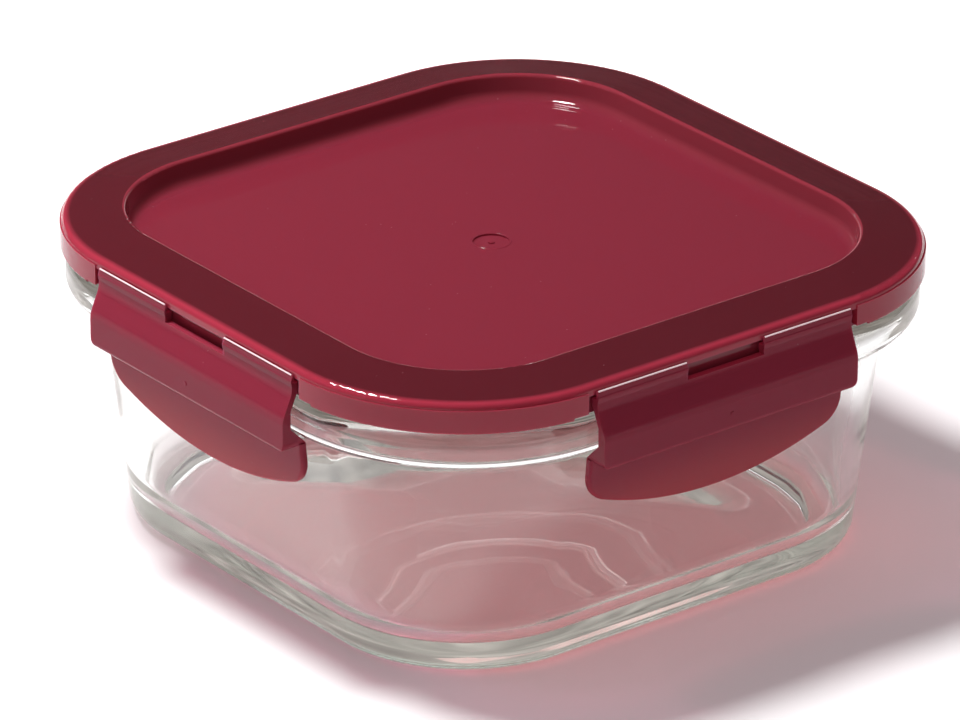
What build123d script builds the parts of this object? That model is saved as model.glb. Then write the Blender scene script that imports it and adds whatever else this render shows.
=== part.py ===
"""Square glass food container with a snap-lock lid, in millimetres.

The glass stands on Z = 0 with its centre on the Z axis. The lid lies on its rim, and one flap hangs on a
thin film hinge at the middle of each side. Sections are drawn in (out, up): out is the distance from the
Z axis towards one side, and up is the height above the table.
"""

from build123d import *
import os
from math import cos, radians, sin

# Glass body
foot_half = 64.6            # half width of the wall at the table
foot_corner = 33.0          # its corner radius
shoulder_half = 70.7        # half width of the wall just under the flange
shoulder_corner = 37.2
glass_height = 63.9         # table to the rim that the seal sits on
wall = 4.0
base_thickness = 5.5
heel_round = 4.0            # outside, between base and wall
floor_round = 6.0           # inside, between floor and wall
foot_hollow = 0.8           # the base is hollowed this much inside its bearing ring
foot_ring_inset = 9.0       # from the wall to the edge of that hollow

# Flange that the flaps lock under
flange_reach = 6.5          # from the wall outwards
flange_corner = 43.4
flange_height = 8.8
rim_rise = 2.7              # top of the flange to the rim of the glass
flange_round_below = 3.0
flange_round_above = 1.4
rim_setback = 3.4           # the rim above the flange is this much narrower
rim_round = 1.2

# Seal
seal_width = 3.2
seal_height = 3.1
seal_round = 0.4
seal_play = 0.2             # each side of the seal in its groove

# Lid
lid_overhang = 0.3          # lid past the flange
lid_centre_square = 35.0    # half of the square that joins the centres of its corner arcs
lid_wall = 1.5
skirt_gap = 0.4             # skirt above the flange
skirt_round = 0.5
crease_step = 0.3           # the skirt stands this much proud of the crown
crease_drop = 0.15          # crease under the ceiling of the groove
crown_edge_rise = 1.3       # crease to the sharp edge that the shoulder rounds
shoulder_round = 1.35
crest_thickness = 3.0       # ceiling of the groove to the highest point of the lid
crest_round = 0.8
plug_play = 1.7             # between the lid's plug and the mouth of the glass
recess_depth = 6.1
recess_draft = 0.6          # the recess narrows by this on its way down
recess_round = 2.6
floor_thickness = 1.6
plug_round = 0.9
rib_thickness = 1.2         # two ribs hold the seal
rib_height = 2.4
gate_radius = 4.15          # shallow dimple at the lid's centre
gate_depth = 0.35
gate_nub_radius = 0.7
gate_nub_height = 0.3

# Flaps
flap_half = 33.7            # half of a flap's length
notch = 1.9                 # free gap at each end of a flap
notch_rise = 0.7            # beside the gaps the lid's skirt is this much shorter
notch_side = 3.6            # over this length
slot_half = 10.1            # half of the gap between the two film hinges
slot_depth = 2.0
plate_thickness = 1.7
plate_height = 17.2         # crease to the lower edge of the outer plate
plate_straight = 4.1        # crease to where the plate flares outwards
flare_height = 5.6
flare_play = 0.4            # flare to the rounded upper edge of the flange
plate_low_thickness = 2.1
plate_corner = 2.2
plate_edge_round = 0.6
plate_lower_round = 1.2
flange_play = 1.0           # plate to flange
ledge_play = 0.3            # sloped ledge to the rounded lower edge of the flange
ledge_grip = 3.1            # the ledge reaches this far under the flange
tab_thickness = 1.8
tab_depth = 14.8            # under the plate, at the middle
tab_end_depth = 7.6         # the same near its ends
tab_corner = 6.5
tab_edge_round = 0.6
gate_dot_radius = 0.5
gate_dot_height = 0.15

# Film hinges
film_thickness = 0.5
film_span = 1.2             # between the two bending lines
film_tilt = 80.0            # degrees below the horizontal
film_gap = 0.1              # between the film's round edge and what it bends against
film_drop = 0.25            # crease to the upper bending line

# Places that follow from these
flange_half = shoulder_half + flange_reach
flange_top = glass_height - rim_rise
flange_bottom = flange_top - flange_height
rim_half = flange_half - rim_setback
rim_corner = flange_corner - rim_setback
mouth_half = shoulder_half - wall
seal_centre = (mouth_half + rim_half) / 2
ceiling = glass_height + seal_height
crease = ceiling - crease_drop
crest = ceiling + crest_thickness
lid_half = flange_half + lid_overhang
lid_corner = lid_half - lid_centre_square
crown_half = lid_half - crease_step
skirt_bottom = flange_top + skirt_gap
plug_half = mouth_half - plug_play
recess_half = plug_half - lid_wall
recess_floor = crest - recess_depth
pocket_back = rim_half + skirt_gap + lid_wall
pocket_half = flap_half + notch
film_radius = film_thickness / 2
lid_line = (crown_half + film_gap + film_radius, crease - film_drop)
flap_line = (
    lid_line[0] + film_span * cos(radians(film_tilt)),
    lid_line[1] - film_span * sin(radians(film_tilt)),
)
sides = {"front": 270, "right": 0, "back": 90, "left": 180}


def section_plane(turn, along=0.0):
    """Plane across one side of the box: x is out, y is up, moved along the side."""
    out = Vector(cos(radians(turn)), sin(radians(turn)), 0)
    return Plane(origin=(0, 0, 0), x_dir=out, z_dir=out.cross(Vector(0, 0, 1))).offset(along)


def face_plane(turn):
    """Plane through the Z axis that looks out of one side: x is along the side, y is up."""
    out = Vector(cos(radians(turn)), sin(radians(turn)), 0)
    return Plane(origin=(0, 0, 0), x_dir=Vector(0, 0, 1).cross(out), z_dir=out)


def soft_square(half, corner):
    """Square with rounded corners, given by its half width."""
    return RectangleRounded(2 * half, 2 * half, corner)


def round_corner(sketch, point, radius):
    """Round the corner of the open sketch that lies nearest to a point."""
    fillet(sketch.vertices().sort_by_distance(point)[0], radius)


def edges_at(part, height):
    """Edges that lie flat at one height."""
    return part.edges().filter_by_position(Axis.Z, height - 0.01, height + 0.01)


# Glass container: tapered wall, flange with rounded edges, rim for the seal, and the hollow inside
with BuildPart() as flange_band:
    with BuildSketch(Plane.XY.offset(flange_bottom)):
        soft_square(flange_half, flange_corner)
    extrude(amount=flange_height)
    fillet(edges_at(flange_band, flange_bottom), flange_round_below)
    fillet(edges_at(flange_band, flange_top), flange_round_above)

with BuildPart() as hollow:
    for half, corner, height in (
        (foot_half - wall, foot_corner - wall, base_thickness),
        (mouth_half, shoulder_corner - wall, glass_height),
    ):
        with BuildSketch(Plane.XY.offset(height)):
            soft_square(half, corner)
    loft(ruled=True)
    fillet(edges_at(hollow, base_thickness), floor_round)

with BuildPart() as glass_container:
    for half, corner, height in (
        (foot_half, foot_corner, 0),
        (shoulder_half, shoulder_corner, flange_top - flange_round_above),
    ):
        with BuildSketch(Plane.XY.offset(height)):
            soft_square(half, corner)
    loft(ruled=True)
    fillet(edges_at(glass_container, 0), heel_round)
    with BuildSketch(Plane.XY):
        soft_square(foot_half - foot_ring_inset, foot_corner - foot_ring_inset)
    extrude(amount=foot_hollow, taper=45, mode=Mode.SUBTRACT)
    add(flange_band.part)
    with BuildSketch(Plane.XY.offset(flange_bottom + flange_round_below)):
        soft_square(rim_half, rim_corner)
    extrude(amount=glass_height - flange_bottom - flange_round_below)
    add(hollow.part, mode=Mode.SUBTRACT)
    fillet(edges_at(glass_container, glass_height), rim_round)
glass_container.part.label = "glass_container"


# Seal: a silicone ring between the lid's two ribs, flat on the rim of the glass
seal_in = seal_centre - seal_width / 2
seal_out = seal_centre + seal_width / 2
with BuildPart() as silicone_gasket:
    with BuildSketch(Plane.XY.offset(glass_height)):
        soft_square(seal_out, seal_out - lid_centre_square)
        offset(amount=-seal_width, mode=Mode.SUBTRACT)
    extrude(amount=seal_height)
    fillet(edges_at(silicone_gasket, ceiling), seal_round)
silicone_gasket.part.label = "silicone_gasket"


# Lid: one section swept round a soft square, closed by the recessed floor, with a pocket for each flap
rib_inner_face = seal_in - seal_play
rib_outer_face = seal_out + seal_play
rib_bottom = ceiling - rib_height
floor_edge = recess_half - recess_draft - recess_round - lid_wall
with BuildSketch() as lid_outline:
    soft_square(lid_half, lid_corner)
lid_path = lid_outline.wires()[0]
path_start = lid_path @ 0
path_out = Vector(path_start.X, path_start.Y, 0)
if abs(path_out.X) > abs(path_out.Y):
    out_axis = Vector(1 if path_out.X > 0 else -1, 0, 0)
else:
    out_axis = Vector(0, 1 if path_out.Y > 0 else -1, 0)
start_on_centre = path_start - out_axis * lid_half
start_plane = Plane(
    origin=(start_on_centre.X, start_on_centre.Y, 0),
    x_dir=out_axis,
    z_dir=out_axis.cross(Vector(0, 0, 1)),
)
crown_edge = (crown_half, crease + crown_edge_rise)
with BuildPart() as lid:
    with BuildSketch(start_plane) as lid_section:
        with BuildLine():
            Polyline(
                (floor_edge, recess_floor),
                (recess_half - recess_draft, recess_floor),
                (recess_half, crest),
                crown_edge,
                (crown_half, crease),
                (lid_half, crease),
                (lid_half, skirt_bottom),
                (lid_half - lid_wall, skirt_bottom),
                (lid_half - lid_wall, ceiling),
                (rib_outer_face + rib_thickness, ceiling),
                (rib_outer_face + rib_thickness, rib_bottom),
                (rib_outer_face, rib_bottom),
                (rib_outer_face, ceiling),
                (rib_inner_face, ceiling),
                (rib_inner_face, rib_bottom),
                (rib_inner_face - rib_thickness, rib_bottom),
                (rib_inner_face - rib_thickness, ceiling),
                (plug_half, ceiling),
                (plug_half, recess_floor - floor_thickness),
                (floor_edge, recess_floor - floor_thickness),
                close=True,
            )
        make_face()
        round_corner(lid_section, (recess_half - recess_draft, recess_floor), recess_round)
        round_corner(lid_section, (recess_half, crest), crest_round)
        round_corner(lid_section, crown_edge, shoulder_round)
        round_corner(lid_section, (lid_half, skirt_bottom), skirt_round)
        round_corner(lid_section, (plug_half, recess_floor - floor_thickness), plug_round)
    sweep(path=lid_path)
    with BuildSketch(Plane.XY.offset(recess_floor - floor_thickness)):
        soft_square(floor_edge + lid_wall / 2, floor_edge + lid_wall / 2 - lid_centre_square)
    extrude(amount=floor_thickness)
    for turn in sides.values():
        with BuildSketch(section_plane(turn)):
            with Locations((pocket_back - lid_wall, skirt_bottom)):
                Rectangle(
                    crown_half - pocket_back + lid_wall,
                    ceiling - skirt_bottom,
                    align=(Align.MIN, Align.MIN),
                )
        extrude(amount=pocket_half + lid_wall, both=True)
    for turn in sides.values():
        with BuildSketch(section_plane(turn)):
            with Locations((pocket_back, skirt_bottom - 1)):
                Rectangle(
                    lid_half - pocket_back + 1,
                    crease - film_drop - film_thickness - skirt_bottom + 1,
                    align=(Align.MIN, Align.MIN),
                )
            with Locations((crown_half, skirt_bottom - 1)):
                Rectangle(lid_half, crease - skirt_bottom + 1, align=(Align.MIN, Align.MIN))
        extrude(amount=pocket_half, both=True, mode=Mode.SUBTRACT)
        with BuildSketch(section_plane(turn)):
            with Locations((pocket_back, skirt_bottom - 1)):
                Rectangle(lid_half - pocket_back + 1, notch_rise + 1, align=(Align.MIN, Align.MIN))
        extrude(amount=pocket_half + notch_side, both=True, mode=Mode.SUBTRACT)
    with Locations((0, 0, recess_floor)):
        Hole(gate_radius, gate_depth)
    with Locations((0, 0, recess_floor - gate_depth)):
        Cylinder(gate_nub_radius, gate_nub_height, align=(Align.CENTER, Align.CENTER, Align.MIN))
lid.part.label = "lid"


# Flaps: outer plate with a sloped locking ledge, and the finger tab that hangs from the ledge
plate_face = flap_line[0] + film_gap
plate_top = flap_line[1] - film_radius - 2 * film_gap
plate_bottom = crease - plate_height
flare_top = crease - plate_straight
flare_bottom = flare_top - flare_height
plate_back = plate_face - plate_thickness
plate_low_back = flange_half + flange_play
plate_low_face = plate_low_back + plate_low_thickness
flare_normal = Vector(flare_height, plate_low_face - plate_face).normalized()
flare_reach = (
    flare_normal.X * (flange_half - flange_round_above)
    + flare_normal.Y * (flange_top - flange_round_above)
    + flange_round_above + flare_play
)
wall_lean = (shoulder_half - foot_half) / (flange_top - flange_round_above)
ledge_tip_out = flange_half - ledge_grip
ledge_slope = (
    flange_half - flange_round_below - flange_bottom - flange_round_below
    + 2 * (flange_round_below + ledge_play) * cos(radians(45))
)
ledge_tip = (ledge_tip_out, ledge_tip_out - ledge_slope)
ledge_root = (plate_low_back, plate_low_back - ledge_slope)
tab_bottom = plate_bottom - tab_depth
tab_drop = ledge_tip[1] - tab_bottom


def back_flare_height(out):
    """Height of the flare's inner side, which clears the rounded edge of the flange."""
    return (flare_reach - flare_normal.X * out) / flare_normal.Y


def make_plate(turn):
    """Outer plate and locking ledge of the flap on one side."""
    with BuildPart() as plate:
        with BuildSketch(section_plane(turn)) as section:
            with BuildLine():
                Polyline(
                    (plate_back, plate_top),
                    (plate_face, plate_top),
                    (plate_face, flare_top),
                    (plate_low_face, flare_bottom),
                    (plate_low_face, plate_bottom),
                    (ledge_tip_out, plate_bottom),
                    ledge_tip,
                    ledge_root,
                    (plate_low_back, back_flare_height(plate_low_back)),
                    (plate_back, back_flare_height(plate_back)),
                    close=True,
                )
            make_face()
            round_corner(section, (plate_face, plate_top), plate_edge_round)
            round_corner(section, (plate_face, flare_top), flare_height)
            round_corner(section, (plate_low_face, flare_bottom), flare_height)
            round_corner(section, (plate_low_face, plate_bottom), plate_lower_round)
        extrude(amount=flap_half, both=True)
        with BuildSketch(face_plane(turn)) as outline:
            with Locations((0, plate_bottom)):
                Rectangle(2 * flap_half, plate_height, align=(Align.CENTER, Align.MIN))
            round_corner(outline, (flap_half, plate_bottom), plate_corner)
            round_corner(outline, (-flap_half, plate_bottom), plate_corner)
            with Locations((0, plate_top)):
                Rectangle(2 * slot_half, 2 * slot_depth, mode=Mode.SUBTRACT)
        extrude(amount=2 * lid_half, mode=Mode.INTERSECT)
    return plate.part


def make_tab(turn):
    """Finger tab of the flap on one side, parallel to the glass wall."""
    lean = wall_lean * tab_drop
    with BuildPart() as tab:
        with BuildSketch(section_plane(turn)) as section:
            with BuildLine():
                Polyline(
                    (ledge_tip_out, ledge_tip[1]),
                    (ledge_tip_out + tab_thickness, ledge_tip[1]),
                    (ledge_tip_out + tab_thickness - lean, tab_bottom),
                    (ledge_tip_out - lean, tab_bottom),
                    close=True,
                )
            make_face()
        extrude(amount=flap_half, both=True)
        with BuildSketch(face_plane(turn)) as outline:
            with BuildLine():
                Line((-flap_half, ledge_tip[1]), (flap_half, ledge_tip[1]))
                Line((flap_half, ledge_tip[1]), (flap_half, plate_bottom - tab_end_depth))
                ThreePointArc(
                    (flap_half, plate_bottom - tab_end_depth),
                    (0, tab_bottom),
                    (-flap_half, plate_bottom - tab_end_depth),
                )
                Line((-flap_half, plate_bottom - tab_end_depth), (-flap_half, ledge_tip[1]))
            make_face()
            round_corner(outline, (flap_half, plate_bottom - tab_end_depth), tab_corner)
            round_corner(outline, (-flap_half, plate_bottom - tab_end_depth), tab_corner)
        extrude(amount=2 * lid_half, mode=Mode.INTERSECT)
        rims = tab.edges().filter_by_position(Axis.Z, tab_bottom - 1, ledge_tip[1] - tab_edge_round)
        across = rims.filter_by(Axis((0, 0, 0), face_plane(turn).z_dir))
        fillet(rims - across, tab_edge_round)
    return tab.part


def make_flap(turn):
    """One flap: plate, tab and the small gate mark on the plate."""
    plate = make_plate(turn)
    tab = make_tab(turn)
    dot_height = (plate_bottom + flare_bottom) / 2
    with BuildPart() as flap:
        add(plate)
        add(tab)
        with BuildSketch(face_plane(turn).offset(plate_low_face)):
            with Locations((0, dot_height)):
                Circle(gate_dot_radius)
        extrude(amount=gate_dot_height)
    return flap.part


def make_film(turn):
    """Two film hinge strips of one side, with a gap between them."""
    middle = (
        (lid_line[0] + flap_line[0]) / 2,
        (lid_line[1] + flap_line[1]) / 2,
    )
    with BuildPart() as film:
        for along in (slot_half, -flap_half):
            with BuildSketch(section_plane(turn, along)):
                with Locations(middle):
                    SlotCenterToCenter(film_span, film_thickness, rotation=-film_tilt)
            extrude(amount=flap_half - slot_half)
    return film.part


pieces = [glass_container.part, silicone_gasket.part, lid.part]
for side, turn in sides.items():
    flap = make_flap(turn)
    flap.label = f"flap_{side}"
    film = make_film(turn)
    film.label = f"hinge_web_{side}"
    pieces += [flap, film]

os.makedirs("parts", exist_ok=True)
for piece in pieces:
    export_step(piece, f"parts/{piece.label}.step")
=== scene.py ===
"""Looks of a square glass food container with a burgundy snap-lock lid.

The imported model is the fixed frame. The scene dresses its parts in glossy moulded plastic, pressed glass and
silicone, and stands them on a pale table under one soft lamp. Finishes and the studio are in metres, and the
added pieces are in millimetres, as in the part's own source.
"""

import logging
import math
from dataclasses import dataclass, field
from enum import Enum

import bmesh
import bpy
from mathutils import Matrix, Vector


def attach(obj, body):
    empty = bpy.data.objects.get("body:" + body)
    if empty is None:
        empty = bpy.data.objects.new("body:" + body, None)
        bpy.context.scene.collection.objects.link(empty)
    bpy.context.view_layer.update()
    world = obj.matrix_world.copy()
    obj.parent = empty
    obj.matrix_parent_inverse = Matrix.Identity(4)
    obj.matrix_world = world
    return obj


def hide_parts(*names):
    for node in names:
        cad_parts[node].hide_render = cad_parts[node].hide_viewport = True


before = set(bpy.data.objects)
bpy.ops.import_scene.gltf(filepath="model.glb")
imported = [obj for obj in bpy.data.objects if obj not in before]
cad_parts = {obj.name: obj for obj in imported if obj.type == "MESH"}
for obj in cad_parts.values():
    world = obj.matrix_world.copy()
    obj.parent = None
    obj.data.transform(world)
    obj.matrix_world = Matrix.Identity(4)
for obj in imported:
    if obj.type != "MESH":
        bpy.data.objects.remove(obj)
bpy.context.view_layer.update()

logging.basicConfig(level=logging.INFO, format="%(name)s: %(message)s")
log = logging.getLogger("container")

Colour = tuple[float, float, float]
Place = tuple[float, float, float]
Span = tuple[float, float]

WHITE: Colour = (1.0, 1.0, 1.0)
MILLIMETRES = 1000
QUARTER_TURN = math.radians(90)
CORNER_SQUARE = 0.035
SHARP_ANGLE = math.radians(50)


class Side(Enum):
    """The four sides of the box, each with its outward direction."""

    FRONT = (0, -1)
    RIGHT = (1, 0)
    BACK = (0, 1)
    LEFT = (-1, 0)

    @property
    def label(self) -> str:
        """Name of the side as the nodes of the frame use it."""
        return self.name.lower()

    @property
    def out(self) -> Vector:
        """The direction away from the box."""
        return Vector((*self.value, 0))

    @property
    def along(self) -> Vector:
        """The direction along the side's edge."""
        return Vector((-self.out.y, self.out.x, 0))


class Moulding(Enum):
    """How the light meets a moulded plastic part."""

    LID = "lid"
    FLAP = "flap"


def link(tree: bpy.types.NodeTree, source: bpy.types.NodeSocket, target: bpy.types.NodeSocket) -> None:
    """Join two sockets of one node tree."""
    tree.links.new(source, target)


def feed(tree: bpy.types.NodeTree, value: object, target: bpy.types.NodeSocket) -> None:
    """Give an input a socket's value, a number or a colour.

    Args:
        tree: The node tree.
        value: A socket, a number or a colour.
        target: The input that takes it.
    """
    if isinstance(value, bpy.types.NodeSocket):
        link(tree, value, target)
    elif isinstance(value, tuple):
        target.default_value = (*value, 1)
    else:
        target.default_value = value


def math_node(
    tree: bpy.types.NodeTree, operation: str, first: object, second: object = 0.0
) -> bpy.types.NodeSocket:
    """Add a Math node.

    Args:
        tree: The node tree that gets it.
        operation: Name of the operation.
        first: A socket or a number.
        second: A socket or a number.

    Returns:
        The socket with the result.
    """
    node = tree.nodes.new("ShaderNodeMath")
    node.operation = operation
    feed(tree, first, node.inputs[0])
    feed(tree, second, node.inputs[1])
    return node.outputs[0]


def ranged(
    tree: bpy.types.NodeTree, value: bpy.types.NodeSocket, given: Span = (0.0, 1.0),
    wanted: Span = (0.0, 1.0), smooth: bool = False,
) -> bpy.types.NodeSocket:
    """Turn one range of a value into another, and hold it at both ends.

    Args:
        tree: The node tree.
        value: The socket with the value.
        given: The value's two ends.
        wanted: What the ends turn into.
        smooth: Whether both ends ease in.

    Returns:
        The socket with the result.
    """
    node = tree.nodes.new("ShaderNodeMapRange")
    if smooth:
        node.interpolation_type = "SMOOTHSTEP"
    for name, number in zip(("From Min", "From Max", "To Min", "To Max"), (*given, *wanted)):
        node.inputs[name].default_value = number
    link(tree, value, node.inputs["Value"])
    return node.outputs["Result"]


def mixed(
    tree: bpy.types.NodeTree, share: bpy.types.NodeSocket, first: object, second: object
) -> bpy.types.NodeSocket:
    """Mix two colours.

    Args:
        tree: The node tree.
        share: How much of the second colour there is.
        first: A colour or a socket.
        second: A colour or a socket.

    Returns:
        The socket with the mixed colour.
    """
    node = tree.nodes.new("ShaderNodeMix")
    node.data_type = "RGBA"
    link(tree, share, node.inputs["Factor"])
    for name, colour in (("A", first), ("B", second)):
        feed(tree, colour, next(i for i in node.inputs if i.name == name and i.type == "RGBA"))
    return next(o for o in node.outputs if o.type == "RGBA")


def object_point(tree: bpy.types.NodeTree) -> bpy.types.NodeSocket:
    """The shaded point in the object's own frame."""
    return tree.nodes.new("ShaderNodeTexCoord").outputs["Object"]


def object_axis(tree: bpy.types.NodeTree, axis: str) -> bpy.types.NodeSocket:
    """One coordinate of the shaded point in the object's own frame."""
    parts = tree.nodes.new("ShaderNodeSeparateXYZ")
    link(tree, object_point(tree), parts.inputs["Vector"])
    return parts.outputs[axis]


def noise(
    tree: bpy.types.NodeTree, point: bpy.types.NodeSocket, scale: object,
    detail: float = 2.0, twist: float = 0.0,
) -> bpy.types.NodeSocket:
    """Smooth random values over a surface.

    Args:
        tree: The node tree.
        point: The socket with the point.
        scale: Patches per metre, as a number or a socket.
        detail: How much finer noise lies over the coarse one.
        twist: How far the patches are bent.

    Returns:
        The socket with a value around one half.
    """
    node = tree.nodes.new("ShaderNodeTexNoise")
    node.inputs["Detail"].default_value = detail
    node.inputs["Distortion"].default_value = twist
    link(tree, point, node.inputs["Vector"])
    feed(tree, scale, node.inputs["Scale"])
    return node.outputs["Fac"]


def stretched(tree: bpy.types.NodeTree, upright: float) -> bpy.types.NodeSocket:
    """The shaded point with its height stretched, which lays a pattern out in level streaks."""
    node = tree.nodes.new("ShaderNodeMapping")
    node.inputs["Scale"].default_value = (1.0, 1.0, upright)
    link(tree, object_point(tree), node.inputs["Vector"])
    return node.outputs["Vector"]


def bump(
    tree: bpy.types.NodeTree, height: bpy.types.NodeSocket, strength: object, depth: float,
    normal: bpy.types.NodeSocket | None = None,
) -> bpy.types.NodeSocket:
    """Make a height into a normal.

    Args:
        tree: The node tree.
        height: The socket with the height.
        strength: How much of it shows, as a number or a socket.
        depth: How deep a height of one is.
        normal: A normal to start from.

    Returns:
        The socket with the new normal.
    """
    node = tree.nodes.new("ShaderNodeBump")
    feed(tree, strength, node.inputs["Strength"])
    node.inputs["Distance"].default_value = depth
    link(tree, height, node.inputs["Height"])
    if normal:
        link(tree, normal, node.inputs["Normal"])
    return node.outputs["Normal"]


def round_reach(tree: bpy.types.NodeTree) -> bpy.types.NodeSocket:
    """How far out the shaded point lies, on square rings with round corners, as half a ring's width."""
    spans = []
    for axis in ("X", "Y"):
        size = math_node(tree, "ABSOLUTE", object_axis(tree, axis))
        past = math_node(tree, "SUBTRACT", size, CORNER_SQUARE)
        spans.append(math_node(tree, "POWER", math_node(tree, "MAXIMUM", past, 0.0), 2.0))
    return math_node(tree, "ADD", math_node(tree, "SQRT", math_node(tree, "ADD", *spans)), CORNER_SQUARE)


def let_lamps_through(tree: bpy.types.NodeTree, colour: object) -> None:
    """Let lamps shine through a surface, so that what lies behind it is lit in its colour.

    Args:
        tree: A material's node tree with its Principled BSDF and output.
        colour: What one surface lets through, as a colour or a socket.
    """
    lamp_way = tree.nodes.new("ShaderNodeBsdfTransparent")
    feed(tree, colour, lamp_way.inputs["Color"])
    path = tree.nodes.new("ShaderNodeLightPath")
    mix = tree.nodes.new("ShaderNodeMixShader")
    link(tree, path.outputs["Is Shadow Ray"], mix.inputs["Fac"])
    link(tree, tree.nodes["Principled BSDF"].outputs["BSDF"], mix.inputs[1])
    link(tree, lamp_way.outputs["BSDF"], mix.inputs[2])
    link(tree, mix.outputs["Shader"], tree.nodes["Material Output"].inputs["Surface"])


def new_material(name: str) -> tuple[bpy.types.Material, bpy.types.NodeTree, bpy.types.Node]:
    """A new material with its node tree and its Principled BSDF."""
    material = bpy.data.materials.new(name)
    material.use_nodes = True
    return material, material.node_tree, material.node_tree.nodes["Principled BSDF"]


def new_group(
    name: str, inputs: dict[str, float], outputs: tuple[str, ...]
) -> tuple[bpy.types.NodeTree, bpy.types.Node, bpy.types.Node]:
    """Start a shader node group with named inputs and outputs.

    Args:
        name: Name of the group.
        inputs: Name and default of each number that it takes.
        outputs: Name of each number that it puts out.

    Returns:
        The node tree, its input node and its output node.
    """
    tree = bpy.data.node_groups.new(name, "ShaderNodeTree")
    for label, value in inputs.items():
        socket = tree.interface.new_socket(name=label, in_out="INPUT", socket_type="NodeSocketFloat")
        socket.default_value = value
    for label in outputs:
        tree.interface.new_socket(name=label, in_out="OUTPUT", socket_type="NodeSocketFloat")
    return tree, tree.nodes.new("NodeGroupInput"), tree.nodes.new("NodeGroupOutput")


@dataclass
class Effects:
    """Surface effects that several finishes share, each built once as a node group."""

    smear_scale: float = 60.0
    smear_detail: float = 4.0
    smear_twist: float = 0.8
    smear_span: Span = (0.4, 0.7)
    grain_scale: float = 2600.0
    speck_scale: float = 330.0
    speck_size: float = 0.045
    dusty_from: float = 0.56
    wave_scale: float = 40.0
    wave_detail: float = 1.0
    wave_twist: float = 0.3
    skin: bpy.types.NodeTree = field(init=False)
    flow: bpy.types.NodeTree = field(init=False)

    def __post_init__(self) -> None:
        """Build the groups."""
        self.skin = self._moulded_skin()
        self.flow = self._slow_waves()

    def _moulded_skin(self) -> bpy.types.NodeTree:
        """Fine unevenness of a moulded gloss surface: a mask of wiped smears and dust, and a height."""
        scales = {"Smear Scale": self.smear_scale, "Grain Scale": self.grain_scale}
        tree, given, result = new_group("moulded_skin", scales, ("Smear", "Dust", "Height"))
        point = object_point(tree)
        smear = noise(tree, point, given.outputs["Smear Scale"], self.smear_detail, self.smear_twist)
        link(tree, ranged(tree, smear, self.smear_span), result.inputs["Smear"])
        link(tree, noise(tree, point, given.outputs["Grain Scale"]), result.inputs["Height"])
        specks = tree.nodes.new("ShaderNodeTexVoronoi")
        specks.inputs["Scale"].default_value = self.speck_scale
        specks.inputs["Randomness"].default_value = 1.0
        link(tree, point, specks.inputs["Vector"])
        small = math_node(tree, "LESS_THAN", specks.outputs["Distance"], self.speck_size)
        rare = math_node(tree, "GREATER_THAN", smear, self.dusty_from)
        link(tree, math_node(tree, "MULTIPLY", small, rare), result.inputs["Dust"])
        return tree

    def _slow_waves(self) -> bpy.types.NodeTree:
        """Slow waves of a pressed or moulded surface, as a height."""
        tree, given, result = new_group("slow_waves", {"Scale": self.wave_scale}, ("Height",))
        wave = noise(tree, object_point(tree), given.outputs["Scale"], self.wave_detail, self.wave_twist)
        link(tree, wave, result.inputs["Height"])
        return tree

    @staticmethod
    def place(tree: bpy.types.NodeTree, group: bpy.types.NodeTree, **values: float) -> bpy.types.Node:
        """Put a group into a material.

        Args:
            tree: The material's node tree.
            group: The group.
            values: A number for each input, with underscores for spaces.

        Returns:
            The group node.
        """
        node = tree.nodes.new("ShaderNodeGroup")
        node.node_tree = group
        for name, value in values.items():
            node.inputs[name.replace("_", " ")].default_value = value
        return node


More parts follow.
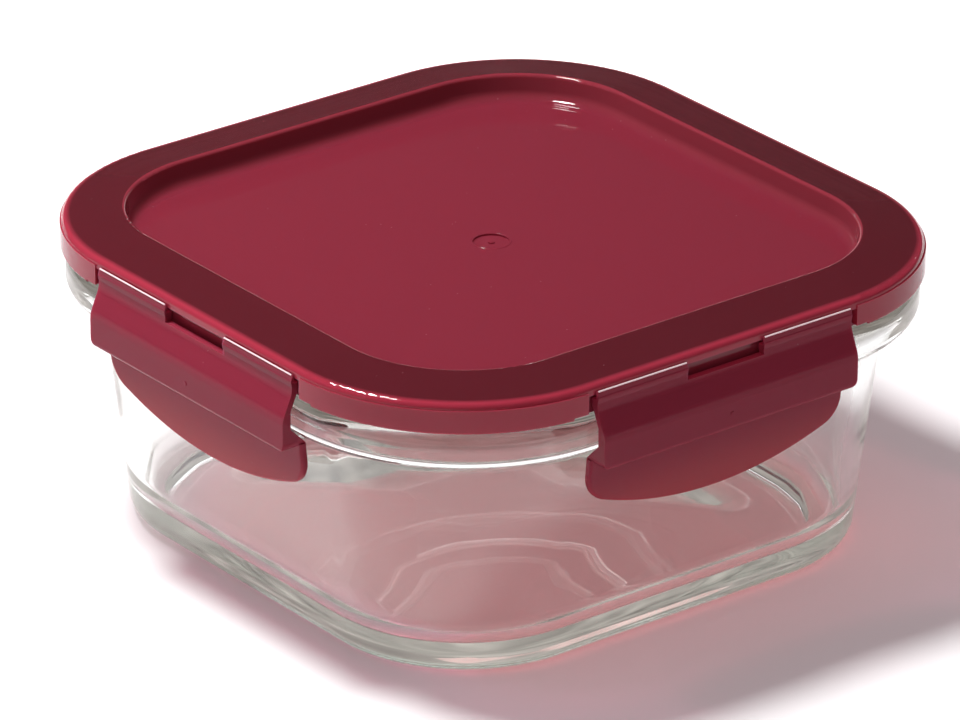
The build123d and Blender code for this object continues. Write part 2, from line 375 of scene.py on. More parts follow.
@dataclass(frozen=True)
class BurgundyPlastic:
    """Glossy burgundy polypropylene, a little see-through where it is thin.

    Attributes:
        deep: Painted shade, a darker copy of the colour where less light comes through doubled walls.
        lit: Painted light, a brighter copy of the colour where light comes through one wall.
        edge: Colour of the lid's outer edge and skirt, brighter than lit, as painted light on upright faces
            that the lamp barely reaches.
        step: Colour of the step round the recess, brightened as painted light.
        passed: What lamps send through the thin panel.
        rim_passed: What lamps send through the rim or a flap.
        lit_heights: Heights between which the painted shade of doubled walls turns into the painted light of
            one wall.
        step_heights: Heights between which the step turns into the panel's colour.
        skirt_reaches: Reaches between which the rim turns into its edge.
    """

    moulding: Moulding
    deep: Colour = (0.085, 0.0095, 0.015)
    lit: Colour = (0.185, 0.0185, 0.034)
    edge: Colour = (0.34, 0.03, 0.055)
    step: Colour = (0.22, 0.027, 0.042)
    dust: Colour = (0.5, 0.32, 0.34)
    dust_share: float = 0.35
    passed: Colour = (0.35, 0.15, 0.158)
    rim_passed: Colour = (0.5, 0.26, 0.33)
    window_reach: float = 0.0625
    recess_reach: float = 0.0641
    lit_heights: Span = (0.0664, 0.0642)
    step_heights: Span = (0.064, 0.065)
    skirt_reaches: Span = (0.0752, 0.0765)
    gloss: float = 0.04
    smeared: float = 0.08
    shine: float = 0.3
    refraction: float = 1.49
    glow: float = 0.3
    glow_reach: Colour = (1.0, 0.3, 0.35)
    glow_depth: float = 0.005
    wave_scale: float = 28.0
    wave_strength: float = 0.25
    wave_depth: float = 0.0006
    grain_strength: float = 0.06
    grain_depth: float = 0.00003

    def build(self, effects: Effects) -> bpy.types.Material:
        """Make the material."""
        material, tree, shader = new_material(f"burgundy_{self.moulding.value}")
        shader.inputs["Specular IOR Level"].default_value = self.shine
        shader.inputs["IOR"].default_value = self.refraction
        shader.inputs["Subsurface Weight"].default_value = self.glow
        shader.inputs["Subsurface Radius"].default_value = self.glow_reach
        shader.inputs["Subsurface Scale"].default_value = self.glow_depth
        skin = effects.place(tree, effects.skin)
        flow = effects.place(tree, effects.flow, Scale=self.wave_scale)
        link(tree, self._colour(tree, skin), shader.inputs["Base Color"])
        rough = ranged(tree, skin.outputs["Smear"], wanted=(self.gloss, self.smeared))
        link(tree, rough, shader.inputs["Roughness"])
        slow = bump(tree, flow.outputs["Height"], self.wave_strength, self.wave_depth)
        fine = bump(tree, skin.outputs["Height"], self.grain_strength, self.grain_depth, slow)
        link(tree, fine, shader.inputs["Normal"])
        let_lamps_through(tree, self._passed_light(tree))
        return material

    def _passed_light(self, tree: bpy.types.NodeTree) -> object:
        """What lamps send through: the panel's share inside its window, and the rim's share elsewhere."""
        if self.moulding is Moulding.FLAP:
            return self.rim_passed
        inside = math_node(tree, "LESS_THAN", round_reach(tree), self.window_reach)
        return mixed(tree, inside, self.rim_passed, self.passed)

    def _colour(self, tree: bpy.types.NodeTree, skin: bpy.types.Node) -> bpy.types.NodeSocket:
        """Darker where walls are doubled and brighter where light comes through, as painted shade and light,
        with the lid's step and edge painted lighter, and rare dust.
        """
        # Painted shade and light: the darker colour above, the brighter one below.
        thin = ranged(tree, object_axis(tree, "Z"), self.lit_heights, smooth=True)
        colour = mixed(tree, thin, self.deep, self.lit)
        if self.moulding is Moulding.LID:
            # Painted light on the step round the recess.
            colour = mixed(tree, self._painted_step_glow(tree), colour, self.step)
            # Painted light: the lid's outer edge and skirt get the brighter edge colour.
            colour = mixed(tree, ranged(tree, round_reach(tree), self.skirt_reaches), colour, self.edge)
        dusty = math_node(tree, "MULTIPLY", skin.outputs["Dust"], self.dust_share)
        return mixed(tree, dusty, colour, self.dust)

    def _painted_step_glow(self, tree: bpy.types.NodeTree) -> bpy.types.NodeSocket:
        """The step round the recess, brightened as painted light for light from the rim and the panel that
        seeps through the plastic.
        """
        rise = ranged(tree, object_axis(tree, "Z"), self.step_heights)
        within = math_node(tree, "LESS_THAN", round_reach(tree), self.recess_reach)
        return math_node(tree, "MULTIPLY", rise, within)


@dataclass(frozen=True)
class PaintedHighlightCrease:
    """A near-white colour that paints the highlight along the bend of the film strips."""

    # Painted highlight colour.
    colour: Colour = (0.95, 0.7, 0.74)
    gloss: float = 0.2
    smeared: float = 0.34

    def build(self, effects: Effects) -> bpy.types.Material:
        """Make the material."""
        material, tree, shader = new_material("painted_highlight_crease")
        feed(tree, self.colour, shader.inputs["Base Color"])
        skin = effects.place(tree, effects.skin)
        rough = ranged(tree, skin.outputs["Smear"], wanted=(self.gloss, self.smeared))
        link(tree, rough, shader.inputs["Roughness"])
        return material


@dataclass(frozen=True)
class PressedGlass:
    """Clear pressed glass with slow waves, a faint green body and a stippled foot.

    Attributes:
        streak: Colour of the grey streaks round the upper half of the flange, a painted reflection of dark
            surroundings.
        passed: What one surface lets through from lamps.
        guided_colour: Colour of a painted glow on rays that the glass guides inside it.
        guided_light: Strength of that painted glow.
        guided_depth: Reflections after which a ray counts as guided.
        calm_heights: Heights between which the waves grow.
    """

    tint: Colour = (0.975, 0.99, 0.982)
    streak: Colour = (0.36, 0.35, 0.32)
    body: Colour = (0.8, 0.92, 0.86)
    density: float = 9.0
    refraction: float = 1.5
    passed: Colour = (0.72, 0.71, 0.7)
    foot_roughness: float = 0.1
    foot_heights: Span = (0.0011, 0.0004)
    guided_colour: Colour = (1.0, 0.88, 0.82)
    guided_light: float = 0.13
    guided_depth: float = 2.5
    guided_scale: float = 75.0
    guided_stretch: float = 9.0
    guided_span: Span = (0.36, 0.66)
    guided_shares: Span = (0.3, 1.8)
    wave_scale: float = 26.0
    wave_depth: float = 0.0012
    calm_heights: Span = (0.04, 0.052)
    wave_strengths: Span = (0.05, 0.35)
    streak_scale: float = 60.0
    streak_detail: float = 4.0
    streak_stretch: float = 16.0
    streak_span: Span = (0.3, 0.62)
    streak_shares: Span = (0.55, 1.0)
    streak_heights: Span = (0.0565, 0.0585)
    flange_reach: float = 0.0725

    def build(self, effects: Effects) -> bpy.types.Material:
        """Make the material."""
        material, tree, shader = new_material("pressed_glass")
        shader.inputs["IOR"].default_value = self.refraction
        shader.inputs["Transmission Weight"].default_value = 1.0
        # Painted reflection: grey streaks in the flange's colour.
        link(tree, self._painted_reflection_streaks(tree), shader.inputs["Base Color"])
        stipple = ranged(tree, object_axis(tree, "Z"), self.foot_heights, (0.0, self.foot_roughness))
        link(tree, stipple, shader.inputs["Roughness"])
        flow = effects.place(tree, effects.flow, Scale=self.wave_scale)
        strength = ranged(tree, object_axis(tree, "Z"), self.calm_heights, self.wave_strengths)
        waves = bump(tree, flow.outputs["Height"], strength, self.wave_depth)
        link(tree, waves, shader.inputs["Normal"])
        # Painted glow on rays guided inside the glass.
        self._paint_glow_on_guided_rays(tree, shader)
        let_lamps_through(tree, self.passed)
        volume = tree.nodes.new("ShaderNodeVolumeAbsorption")
        feed(tree, self.body, volume.inputs["Color"])
        volume.inputs["Density"].default_value = self.density
        link(tree, volume.outputs["Volume"], tree.nodes["Material Output"].inputs["Volume"])
        return material

    def _painted_reflection_streaks(self, tree: bpy.types.NodeTree) -> bpy.types.NodeSocket:
        """Clear tint, with grey streaks of painted reflection that run round the upper half of the flange."""
        streak = noise(tree, stretched(tree, self.streak_stretch), self.streak_scale, self.streak_detail)
        share = ranged(tree, streak, self.streak_span, self.streak_shares)
        upper = ranged(tree, object_axis(tree, "Z"), self.streak_heights, smooth=True)
        outer = math_node(tree, "GREATER_THAN", round_reach(tree), self.flange_reach)
        band = math_node(tree, "MULTIPLY", upper, outer)
        return mixed(tree, math_node(tree, "MULTIPLY", band, share), self.tint, self.streak)

    def _paint_glow_on_guided_rays(self, tree: bpy.types.NodeTree, shader: bpy.types.Node) -> None:
        """Paint a glow on rays that the glass guides along inside itself, standing in for its scattered light.
        """
        feed(tree, self.guided_colour, shader.inputs["Emission Color"])
        path = tree.nodes.new("ShaderNodeLightPath")
        guided = math_node(tree, "GREATER_THAN", path.outputs["Glossy Depth"], self.guided_depth)
        streak = noise(tree, stretched(tree, self.guided_stretch), self.guided_scale)
        low, high = (share * self.guided_light for share in self.guided_shares)
        light = ranged(tree, streak, self.guided_span, (low, high))
        link(tree, math_node(tree, "MULTIPLY", guided, light), shader.inputs["Emission Strength"])


@dataclass(frozen=True)
class MilkySilicone:
    """Soft, milky silicone of the seal."""

    colour: Colour = (0.78, 0.77, 0.75)
    glow: float = 0.3
    glow_depth: float = 0.002
    gloss: float = 0.42
    smeared: float = 0.6
    grain_scale: float = 1800.0
    grain_strength: float = 0.2
    grain_depth: float = 0.00005

    def build(self, effects: Effects) -> bpy.types.Material:
        """Make the material."""
        material, tree, shader = new_material("milky_silicone")
        feed(tree, self.colour, shader.inputs["Base Color"])
        shader.inputs["Subsurface Weight"].default_value = self.glow
        shader.inputs["Subsurface Scale"].default_value = self.glow_depth
        skin = effects.place(tree, effects.skin, Grain_Scale=self.grain_scale)
        rough = ranged(tree, skin.outputs["Smear"], wanted=(self.gloss, self.smeared))
        link(tree, rough, shader.inputs["Roughness"])
        fine = bump(tree, skin.outputs["Height"], self.grain_strength, self.grain_depth)
        link(tree, fine, shader.inputs["Normal"])
        return material


def dress(obj: bpy.types.Object, material: bpy.types.Material) -> None:
    """Give every slot of an object one material."""
    if not obj.material_slots:
        obj.data.materials.append(material)
    for material_slot in obj.material_slots:
        material_slot.material = material
    log.info("dressed %s in %s", obj.name, material.name)


@dataclass
class Studio:
    """Pale table, white surroundings, one soft lamp and the camera.

    Attributes:
        focal_pixels: Focal length in pixels of the photo's frame.
        aim: The point that the camera looks at.
        shade: Hue of the world's light on surfaces that scatter it.
        lift_hue: Hue of the table's own light close to the box.
        backdrop_way: The level direction from the camera to the box.
        horizon_heights: Heights of a ray between which the horizon turns into the ceiling.
        backdrop_heights: Heights of a ray between which the backdrop fades in.
        backdrop_spread: How far a ray agrees with backdrop_way, between none and all of the backdrop.
        sweep_depths: Distances behind the box between which the table runs out to white.
        far_reaches: Distances from the box, to any side, between which it does the same.
    """

    focal_pixels: float = 7806.0
    frame_width: int = 960
    sensor_width: float = 36.0
    view_end: float = 20.0
    distance: float = 1.6643
    azimuth: float = -38.09
    elevation: float = 24.70
    roll: float = 0.22
    aim: Place = (-0.00175344, 0.00149188, 0.03615375)
    lamp_place: Place = (-0.157, 0.155, 0.605)
    lamp_size: float = 0.13
    lamp_power: float = 4.8
    ambient: float = 0.3
    shade: Colour = (1.0, 0.9, 0.95)
    lift_hue: Colour = (1.0, 0.82, 0.84)
    ceiling: float = 0.045
    horizon: float = 0.09
    horizon_heights: Span = (0.05, 0.3)
    backdrop: float = 3.5
    backdrop_way: Place = (0.617, 0.787, 0.0)
    backdrop_heights: Span = (0.1, 0.03)
    backdrop_spread: Span = (0.6, 0.85)
    floor_size: float = 12.0
    floor_drop: float = 0.00015
    floor_colour: Colour = (0.88, 0.88, 0.88)
    floor_roughness: float = 0.9
    floor_lift: float = 0.12
    sweep_lift: float = 0.55
    sweep_depths: Span = (0.13, 0.2)
    far_reaches: Span = (0.2, 0.5)

    def set_camera(self) -> None:
        """Place the camera where the photograph was taken from."""
        turn, tilt, spin = (math.radians(v) for v in (self.azimuth, self.elevation, self.roll))
        level = math.cos(tilt)
        back = Vector((math.sin(turn) * level, -math.cos(turn) * level, math.sin(tilt)))
        right = (-back).cross(Vector((0, 0, 1))).normalized()
        up = right.cross(-back)
        turned_right = right * math.cos(spin) + up * math.sin(spin)
        turned_up = up * math.cos(spin) - right * math.sin(spin)
        camera_data = bpy.data.cameras.new("camera")
        camera_data.sensor_width = self.sensor_width
        camera_data.lens = self.focal_pixels * self.sensor_width / self.frame_width
        camera_data.clip_end = self.view_end
        camera = bpy.data.objects.new("camera", camera_data)
        pose = Matrix((turned_right, turned_up, back)).transposed().to_4x4()
        pose.translation = Vector(self.aim) + back * self.distance
        camera.matrix_world = pose
        bpy.context.collection.objects.link(camera)
        bpy.context.scene.camera = camera

    def set_world(self) -> None:
        """White for the camera, a room for gloss and glass, and a plain fill for scattered light."""
        world = bpy.data.worlds.new("surroundings")
        bpy.context.scene.world = world
        world.use_nodes = True
        tree = world.node_tree
        ground = tree.nodes["Background"]
        path = tree.nodes.new("ShaderNodeLightPath").outputs
        fill = ranged(tree, path["Is Camera Ray"], wanted=(self.ambient, 1.0))
        unscattered = math_node(tree, "LESS_THAN", path["Diffuse Depth"], 0.5)
        clear = math_node(tree, "MAXIMUM", path["Is Glossy Ray"], path["Is Transmission Ray"])
        strength = tree.nodes.new("ShaderNodeMix")
        link(tree, math_node(tree, "MULTIPLY", clear, unscattered), strength.inputs["Factor"])
        link(tree, fill, strength.inputs["A"])
        link(tree, self._mirrored_room(tree), strength.inputs["B"])
        link(tree, mixed(tree, path["Is Diffuse Ray"], WHITE, self.shade), ground.inputs["Color"])
        link(tree, strength.outputs["Result"], ground.inputs["Strength"])

    def _mirrored_room(self, tree: bpy.types.NodeTree) -> bpy.types.NodeSocket:
        """What gloss and glass show: a dim room, and a bright low backdrop behind the box."""
        ray = tree.nodes.new("ShaderNodeTexCoord").outputs["Generated"]
        parts = tree.nodes.new("ShaderNodeSeparateXYZ")
        link(tree, ray, parts.inputs["Vector"])
        height = parts.outputs["Z"]
        room = ranged(tree, height, self.horizon_heights, (self.horizon, self.ceiling), smooth=True)
        low = ranged(tree, height, self.backdrop_heights, (0.0, self.backdrop), smooth=True)
        behind = ranged(tree, self._towards_backdrop(tree, ray), self.backdrop_spread, smooth=True)
        return math_node(tree, "ADD", room, math_node(tree, "MULTIPLY", low, behind))

    def _towards_backdrop(
        self, tree: bpy.types.NodeTree, vector: bpy.types.NodeSocket
    ) -> bpy.types.NodeSocket:
        """How far a vector reaches in the direction of the backdrop."""
        node = tree.nodes.new("ShaderNodeVectorMath")
        node.operation = "DOT_PRODUCT"
        node.inputs[1].default_value = self.backdrop_way
        link(tree, vector, node.inputs[0])
        return node.outputs["Value"]

    def set_lamp(self) -> None:
        """One round lamp close above the box, behind its left corner, which spreads the shadow."""
        lamp_data = bpy.data.lights.new("lamp", "AREA")
        lamp_data.shape = "DISK"
        lamp_data.size = self.lamp_size
        lamp_data.energy = self.lamp_power
        lamp = bpy.data.objects.new("lamp", lamp_data)
        lamp.location = self.lamp_place
        lamp.rotation_euler = (-Vector(self.lamp_place)).to_track_quat("-Z", "Y").to_euler()
        bpy.context.collection.objects.link(lamp)

    def set_floor(self) -> None:
        """Pale table top, which keeps the shadow."""
        bpy.ops.mesh.primitive_plane_add(size=self.floor_size, location=(0, 0, -self.floor_drop))
        floor = bpy.context.object
        floor.name = "table_top"
        material, tree, shader = new_material("table_top")
        feed(tree, self.floor_colour, shader.inputs["Base Color"])
        shader.inputs["Roughness"].default_value = self.floor_roughness
        shader.inputs["Specular IOR Level"].default_value = 0.0
        both = tree.nodes.new("ShaderNodeAddShader")
        link(tree, shader.outputs["BSDF"], both.inputs[0])
        link(tree, self._floor_glow(tree), both.inputs[1])
        link(tree, both.outputs["Shader"], tree.nodes["Material Output"].inputs["Surface"])
        floor.data.materials.append(material)

    def _floor_glow(self, tree: bpy.types.NodeTree) -> bpy.types.NodeSocket:
        """Light of the table's own that only shows, and lights nothing: faint by the box, white far off."""
        path = tree.nodes.new("ShaderNodeLightPath").outputs
        seen = math_node(tree, "MAXIMUM", path["Is Camera Ray"], path["Is Glossy Ray"])
        seen = math_node(tree, "MAXIMUM", seen, path["Is Transmission Ray"])
        point = object_point(tree)
        sweep = ranged(tree, self._towards_backdrop(tree, point), self.sweep_depths, smooth=True)
        span = tree.nodes.new("ShaderNodeVectorMath")
        span.operation = "LENGTH"
        link(tree, point, span.inputs[0])
        far = ranged(tree, span.outputs["Value"], self.far_reaches, smooth=True)
        lifts = (self.floor_lift, self.floor_lift + self.sweep_lift)
        level = ranged(tree, math_node(tree, "MAXIMUM", sweep, far), wanted=lifts)
        glow = tree.nodes.new("ShaderNodeEmission")
        link(tree, mixed(tree, far, self.lift_hue, WHITE), glow.inputs["Color"])
        link(tree, math_node(tree, "MULTIPLY", seen, level), glow.inputs["Strength"])
        return glow.outputs["Emission"]

    def build(self) -> None:
        """Set the whole studio."""
        self.set_camera()
        self.set_world()
        self.set_lamp()
        self.set_floor()
        bpy.context.scene.view_settings.view_transform = "Standard"
        log.info("set the studio")


@dataclass(frozen=True)
class SoftSquare:
    """A square ring with round corners at one height.

    Attributes:
        half: Half its width, in millimetres.
        corner: Corner radius, in millimetres.
        height: Height above the table, in millimetres.
    """

    half: float
    corner: float
    height: float

    def _on_corner(self, quarter: int, angle: float) -> Vector:
        """The point at an angle on the round corner of one quarter, level with the table."""
        centre = Vector((self.half - self.corner, self.half - self.corner, 0))
        centre.rotate(Matrix.Rotation(QUARTER_TURN * quarter, 3, "Z"))
        return centre + self.corner * Vector((math.cos(angle), math.sin(angle), 0))

    def points(self, corner_steps: int, side_steps: int) -> list[Vector]:
        """Points round the ring, in metres.

        Args:
            corner_steps: Steps round one corner.
            side_steps: Steps along one straight side.

        Returns:
            The points, which start on the right side and go round to the left seen from above.
        """
        ring = []
        for quarter in range(4):
            start = QUARTER_TURN * quarter
            for step in range(corner_steps + 1):
                ring.append(self._on_corner(quarter, start + QUARTER_TURN * step / corner_steps))
            near = ring[-1].copy()
            far = self._on_corner(quarter + 1, start + QUARTER_TURN)
            for step in range(1, side_steps):
                ring.append(near.lerp(far, step / side_steps))
        return [(point + Vector((0, 0, self.height))) / MILLIMETRES for point in ring]


def arc(centre: Span, radius: float, start: float, end: float, steps: int) -> list[Span]:
    """Points on an arc of a section, from one angle to another in degrees."""
    angles = [math.radians(start + (end - start) * step / steps) for step in range(steps + 1)]
    return [(centre[0] + radius * math.cos(a), centre[1] + radius * math.sin(a)) for a in angles]


def in_order(verts: list[bmesh.types.BMVert]) -> list[bmesh.types.BMVert]:
    """The vertices of a level circle in their order round it."""
    return sorted(verts, key=lambda vert: math.atan2(vert.co.y, vert.co.x) % math.tau)


def number_by_place(bm: bmesh.types.BMesh) -> None:
    """Number vertices and faces by where they lie, as the operators' own order differs from run to run.

    Args:
        bm: The bmesh, with no two vertices in one place.
    """
    for number, vert in enumerate(sorted(bm.verts, key=lambda vert: vert.co[:])):
        vert.index = number
    bm.verts.sort()
    for number, face in enumerate(sorted(bm.faces, key=lambda face: sorted(v.index for v in face.verts))):
        face.index = number
    bm.faces.sort()


def settle(
    bm: bmesh.types.BMesh, name: str, material: bpy.types.Material, sharp: bool = True
) -> bpy.types.Object:
    """Turn a finished bmesh into a smooth object with one material, and free the bmesh.

    Args:
        bm: The bmesh.
        name: Name of the new object.
        material: Its material.
        sharp: Whether steep edges stay sharp.

    Returns:
        The object.
    """
    number_by_place(bm)
    bmesh.ops.recalc_face_normals(bm, faces=list(bm.faces))
    mesh = bpy.data.meshes.new(name)
    bm.to_mesh(mesh)
    bm.free()
    mesh.shade_smooth()
    if sharp:
        mesh.set_sharp_from_angle(angle=SHARP_ANGLE)
    obj = bpy.data.objects.new(name, mesh)
    bpy.context.collection.objects.link(obj)
    obj.data.materials.append(material)
    log.info("made %s with %d faces", name, len(mesh.polygons))
    return obj


def sweep_rings(rings: list[SoftSquare], corner_steps: int, side_steps: int) -> bmesh.types.BMesh:
    """Skin a closed shell through rings, and close its first and last ring with a flat face.

    Args:
        rings: The rings in order, from the middle of the underside to the middle of the inner floor.
        corner_steps: Steps round one corner.
        side_steps: Steps along one straight side.

    Returns:
        The shell.
    """
    bm = bmesh.new()
    first = rings[0].points(corner_steps, side_steps)
    made = bmesh.ops.create_circle(
        bm, cap_ends=False, radius=rings[0].half / MILLIMETRES, segments=len(first)
    )
    ring_verts = in_order(made["verts"])
    for vert, point in zip(ring_verts, first):
        vert.co = point
    edges = list(bm.edges)
    bmesh.ops.contextual_create(bm, geom=edges)
    for ring in rings[1:]:
        grown = bmesh.ops.extrude_edge_only(bm, edges=edges)["geom"]
        verts = {g for g in grown if isinstance(g, bmesh.types.BMVert)}
        edges = [g for g in grown if isinstance(g, bmesh.types.BMEdge) and verts.issuperset(g.verts)]
        ring_verts = [
            next(e.other_vert(old) for e in old.link_edges if e.other_vert(old) in verts)
            for old in ring_verts
        ]
        for vert, point in zip(ring_verts, ring.points(corner_steps, side_steps)):
            vert.co = point
    bmesh.ops.contextual_create(bm, geom=edges)
    return bm


@dataclass
class GlassBox:
    """The pressed glass box, in millimetres as in the frame's source.

    Attributes:
        foot_half: Half the width of the outer wall's cone at the table.
        shoulder_half: Half the width of that cone at shoulder_height.
        heel_round: Round between foot and wall.
        floor_round: Round between inner wall and floor.
        foot_ring: Width of the ring that the box stands on.
        foot_hollow: How far the underside lies above the table.
        panel_half: Half the width of the raised panel in the underside.
        centre_half: Half the width of the flat faces in the middle of underside and floor.
        under_round: Round of the flange's lower edge.
        upper_round: Round of the flange's upper edge.
        lip_round: Round of the mouth's two edges.
        wall_sway: How far the inner wall sways.
        sway_height: Height over which it sways by one radian.
    """

    foot_half: float = 64.6
    foot_corner: float = 33.0
    shoulder_half: float = 70.7
    shoulder_corner: float = 37.2
    shoulder_height: float = 59.8
    height: float = 63.9
    wall: float = 4.0
    base: float = 5.5
    heel_round: float = 4.6
    floor_round: float = 7.0
    foot_ring: float = 9.0
    foot_hollow: float = 0.8
    panel_half: float = 36.0
    centre_half: float = 8.0
    centre_corner: float = 0.55
    flange_half: float = 77.2
    flange_bottom: float = 52.4
    flange_top: float = 61.2
    under_round: float = 3.1
    upper_round: float = 3.2
    rim_half: float = 73.8
    lip_round: float = 1.2
    wall_sway: float = 0.25
    sway_height: float = 9.0
    outer_heights: tuple[float, ...] = (11, 17, 24, 31, 38, 44, 48.6, 50.6)
    inner_heights: tuple[float, ...] = (58, 52, 45, 38, 31, 24, 18)
    corner_steps: int = 28
    side_steps: int = 18

    def _outer_half(self, height: float) -> float:
        """Half width of the outer wall at a height."""
        return self.foot_half + (self.shoulder_half - self.foot_half) * height / self.shoulder_height

    def _outer_corner(self, height: float) -> float:
        """Corner radius of the outer wall at a height."""
        return self.foot_corner + (self.shoulder_corner - self.foot_corner) * height / self.shoulder_height

    def _ring(self, half: float, height: float) -> SoftSquare:
        """A ring that keeps to the corner centres of the wall, or a small soft one within them."""
        square = self._outer_half(height) - self._outer_corner(height)
        if half - square > 1:
            return SoftSquare(half, half - square, height)
        return SoftSquare(half, half * self.centre_corner, height)

    def _underside(self) -> list[Span]:
        """Section of the underside: a raised panel, a hollow and the ring that the box stands on."""
        ring_in = self.foot_half - self.foot_ring
        hollow = self.foot_hollow
        return [
            (self.centre_half, hollow + 0.45),
            (self.panel_half - 0.9, hollow + 0.4),
            (self.panel_half + 0.3, hollow + 0.05),
            (ring_in - 8.0, hollow + 0.03),
            (ring_in - 1.6, hollow),
            (ring_in - 0.6, 0.25),
            (ring_in + 0.8, 0.0),
            (self.foot_half - self.heel_round - 1.0, 0.0),
        ]

    def _outside(self) -> list[Span]:
        """Section of the heel and the outer wall up to the flange."""
        lean = math.degrees(math.atan2(self.shoulder_half - self.foot_half, self.shoulder_height))
        centre = (self._outer_half(self.heel_round) - self.heel_round, self.heel_round)
        heel = arc(centre, self.heel_round, -88, -lean, 9)
        return heel + [(self._outer_half(height), height) for height in self.outer_heights]

    def _flange(self) -> list[Span]:
        """Section of the flange, from the wall below it to the rim above it."""
        under, top = self.flange_bottom, self.flange_top
        start = self._outer_half(under)
        low_centre = (self.flange_half - self.under_round, under + self.under_round)
        below = arc(low_centre, self.under_round, -90, 0, 8)
        above = arc((self.flange_half - 3.3, top - 3.1), self.upper_round, 4, 88, 9)
        return [
            (start + 0.12, under - 0.55),
            (start + 0.75, under - 0.02),
            *below,
            (self.flange_half - 0.12, under + 4.3),
            (self.flange_half - 0.1, under + 5.0),
            *above,
        ]

    def _rim(self) -> list[Span]:
        """Section of the rim that the seal rests on."""
        lip = self.lip_round
        mouth = self.shoulder_half - self.wall
        return [
            (self.rim_half + 0.35, self.flange_top - 0.02),
            (self.rim_half, self.flange_top + 0.35),
            (self.rim_half - 0.02, self.height - 1.25),
            *arc((self.rim_half - lip, self.height - lip), lip, 0, 90, 5),
            *arc((mouth + lip, self.height - lip), lip, 90, 180, 5),
        ]

    def _inside(self) -> list[Span]:
        """Section of the inner wall and the inner floor."""
        path = []
        for height in self.inner_heights:
            sway = self.wall_sway * math.sin(height / self.sway_height)
            path.append((self._outer_half(height) - self.wall - sway, height))
        low = self.base + self.floor_round
        turn = self._outer_half(low) - self.wall - self.floor_round
        path += arc((turn, low), self.floor_round, 0, -86, 10)
        path += [(turn - 5.0, self.base - 0.02), (turn - 20.0, self.base - 0.1)]
        return path + [(self.centre_half, self.base - 0.2)]

    def build(self, material: bpy.types.Material) -> None:
        """Make the glass and let it stand for the plain solid."""
        path = self._underside() + self._outside() + self._flange() + self._rim() + self._inside()
        rings = [self._ring(half, height) for half, height in path]
        shell = sweep_rings(rings, self.corner_steps, self.side_steps)
        glass = settle(shell, "glass_box", material, sharp=False)
        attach(glass, "glass")
        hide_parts("glass_container")


@dataclass
class HingeCover:
    """The skin of a flap where it runs into its two film strips, in millimetres.

    Attributes:
        line: Reach and height of the line that the flap bends on.
        back_round: Radius of the skin's back on that line.
        plate_face: Reach of the flap's outer face.
        foot_height: Height at which the skin runs out on the plate.
        foot_rise: Height over which it swells there, and foot_swell by how much.
        inner_rise: The same on the inner face, down to inner_sink below the plate's outer face.
        inner_end: Where a film strip starts, from the middle of the side.
        outer_end: Where a film strip ends.
    """

    line: Span = (77.7584, 65.4182)
    back_round: float = 0.33
    back_angles: Span = (0, 200)
    back_steps: int = 12
    plate_face: float = 77.858
    plate_sink: float = 0.02
    foot_height: float = 64.1
    foot_rise: float = 0.6
    foot_swell: float = 0.13
    inner_rise: float = 0.4
    inner_sink: float = 0.6
    inner_end: float = 10.1
    outer_end: float = 33.7

    def _section(self) -> list[Span]:
        """Outline of the skin: a round back on the bending line, and a foot that runs out on the plate."""
        return [
            (self.plate_face - self.plate_sink, self.foot_height),
            (self.plate_face + self.foot_swell, self.foot_height + self.foot_rise),
            *arc(self.line, self.back_round, *self.back_angles, self.back_steps),
            (self.line[0] - self.back_round, self.foot_height + self.inner_rise),
            (self.plate_face - self.inner_sink, self.foot_height),
        ]

    def build(self, side: Side, material: bpy.types.Material) -> None:
        """Make the skin of one side."""
        section = self._section()
        bm = bmesh.new()
        for start, end in ((self.inner_end, self.outer_end), (-self.outer_end, -self.inner_end)):
            made = bmesh.ops.create_circle(
                bm, cap_ends=True, radius=1 / MILLIMETRES, segments=len(section)
            )
            ordered = in_order(made["verts"])
            for vert, (reach, height) in zip(ordered, section):
                vert.co = (side.out * reach + side.along * start + Vector((0, 0, height))) / MILLIMETRES
            cap = ordered[0].link_faces[0]
            grown = bmesh.ops.extrude_face_region(bm, geom=[cap])["geom"]
            ends = [g for g in grown if isinstance(g, bmesh.types.BMVert)]
            bmesh.ops.translate(bm, verts=ends, vec=side.along * (end - start) / MILLIMETRES)
        cover = settle(bm, f"hinge_cover_{side.label}", material)
        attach(cover, f"flap_{side.label}")


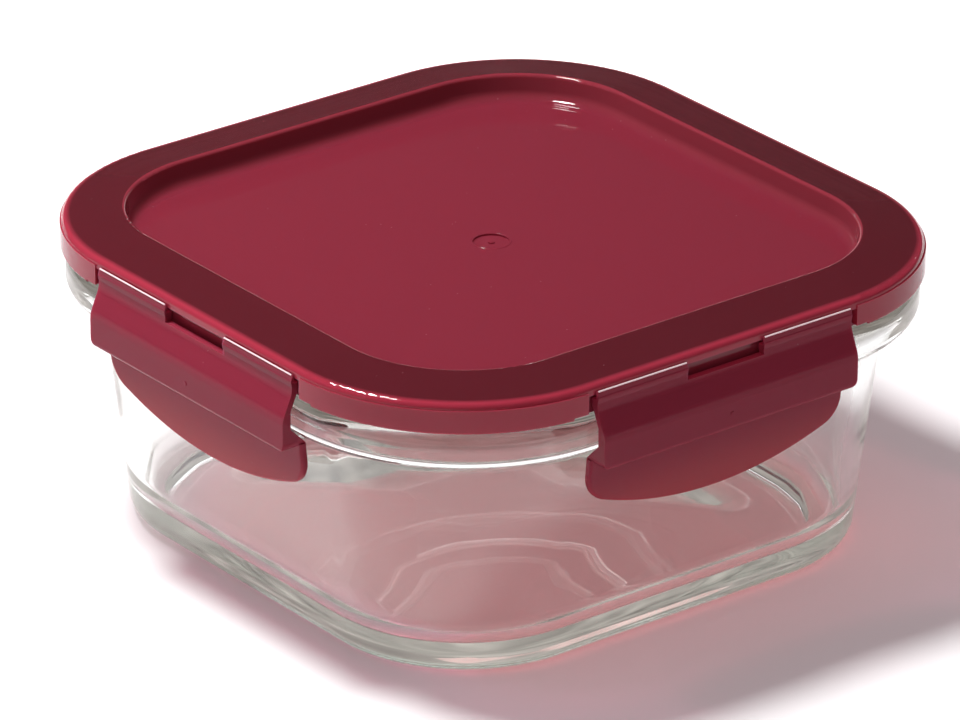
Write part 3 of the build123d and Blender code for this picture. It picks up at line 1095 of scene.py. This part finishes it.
@dataclass
class HingeCrease:
    """The upper bend of the film strips, a thin bar that carries a painted highlight, in millimetres."""

    line: Span = (77.72, 66.8)
    radius: float = 0.17
    segments: int = 16
    inner_end: float = 10.4
    outer_end: float = 33.4

    def build(self, side: Side, material: bpy.types.Material) -> None:
        """Make the creases of one side."""
        turn = side.along.to_track_quat("Z", "Y").to_matrix().to_4x4()
        radius = self.radius / MILLIMETRES
        bm = bmesh.new()
        for sense in (1, -1):
            middle = sense * (self.inner_end + self.outer_end) / 2
            place = side.out * self.line[0] + side.along * middle + Vector((0, 0, self.line[1]))
            bmesh.ops.create_cone(
                bm, cap_ends=True, segments=self.segments, radius1=radius, radius2=radius,
                depth=(self.outer_end - self.inner_end) / MILLIMETRES,
                matrix=Matrix.Translation(place / MILLIMETRES) @ turn,
            )
        crease = settle(bm, f"hinge_crease_{side.label}", material)
        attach(crease, "lid")


@dataclass
class GateRing:
    """The soft lip of the gate mark in the middle of the panel, in millimetres."""

    radius: float = 4.1
    thickness: float = 0.26
    segments: int = 12
    height: float = 63.78
    turns: int = 72

    def build(self, material: bpy.types.Material) -> None:
        """Make the lip as a flat torus."""
        bm = bmesh.new()
        place = Vector((self.radius, 0, self.height)) / MILLIMETRES
        upright = Matrix.Translation(place) @ Matrix.Rotation(QUARTER_TURN, 4, "X")
        bmesh.ops.create_circle(
            bm, cap_ends=False, radius=self.thickness / MILLIMETRES, segments=self.segments, matrix=upright
        )
        bmesh.ops.spin(
            bm, geom=list(bm.verts) + list(bm.edges), cent=(0, 0, 0), axis=(0, 0, 1), angle=math.tau,
            steps=self.turns, use_merge=True,
        )
        bmesh.ops.remove_doubles(bm, verts=list(bm.verts), dist=0.001 / MILLIMETRES)
        ring = settle(bm, "gate_ring", material)
        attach(ring, "lid")


@dataclass
class Container:
    """The glass, its lid, seal and flaps."""

    effects: Effects = field(default_factory=Effects)

    def build(self) -> None:
        """Make the added pieces and dress the parts."""
        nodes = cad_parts
        GlassBox().build(PressedGlass().build(self.effects))
        dress(nodes["silicone_gasket"], MilkySilicone().build(self.effects))
        lid_plastic = BurgundyPlastic(Moulding.LID).build(self.effects)
        # The flaps get their own painted shade and light: the plate darker, and the tab lighter towards its
        # bottom.
        flap_plastic = BurgundyPlastic(
            Moulding.FLAP, deep=(0.25, 0.026, 0.049), lit=(0.37, 0.052, 0.066),
            lit_heights=(0.048, 0.035), shine=0.1,
        ).build(self.effects)
        # The near-white colour of the creases is a painted highlight.
        painted_highlight = PaintedHighlightCrease().build(self.effects)
        dress(nodes["lid"], lid_plastic)
        GateRing().build(lid_plastic)
        for side in Side:
            dress(nodes[f"flap_{side.label}"], flap_plastic)
            dress(nodes[f"hinge_web_{side.label}"], flap_plastic)
            HingeCover().build(side, flap_plastic)
            HingeCrease().build(side, painted_highlight)


def main() -> None:
    """Build the studio and the container."""
    Studio().build()
    Container().build()


if __name__ == "__main__":
    main()
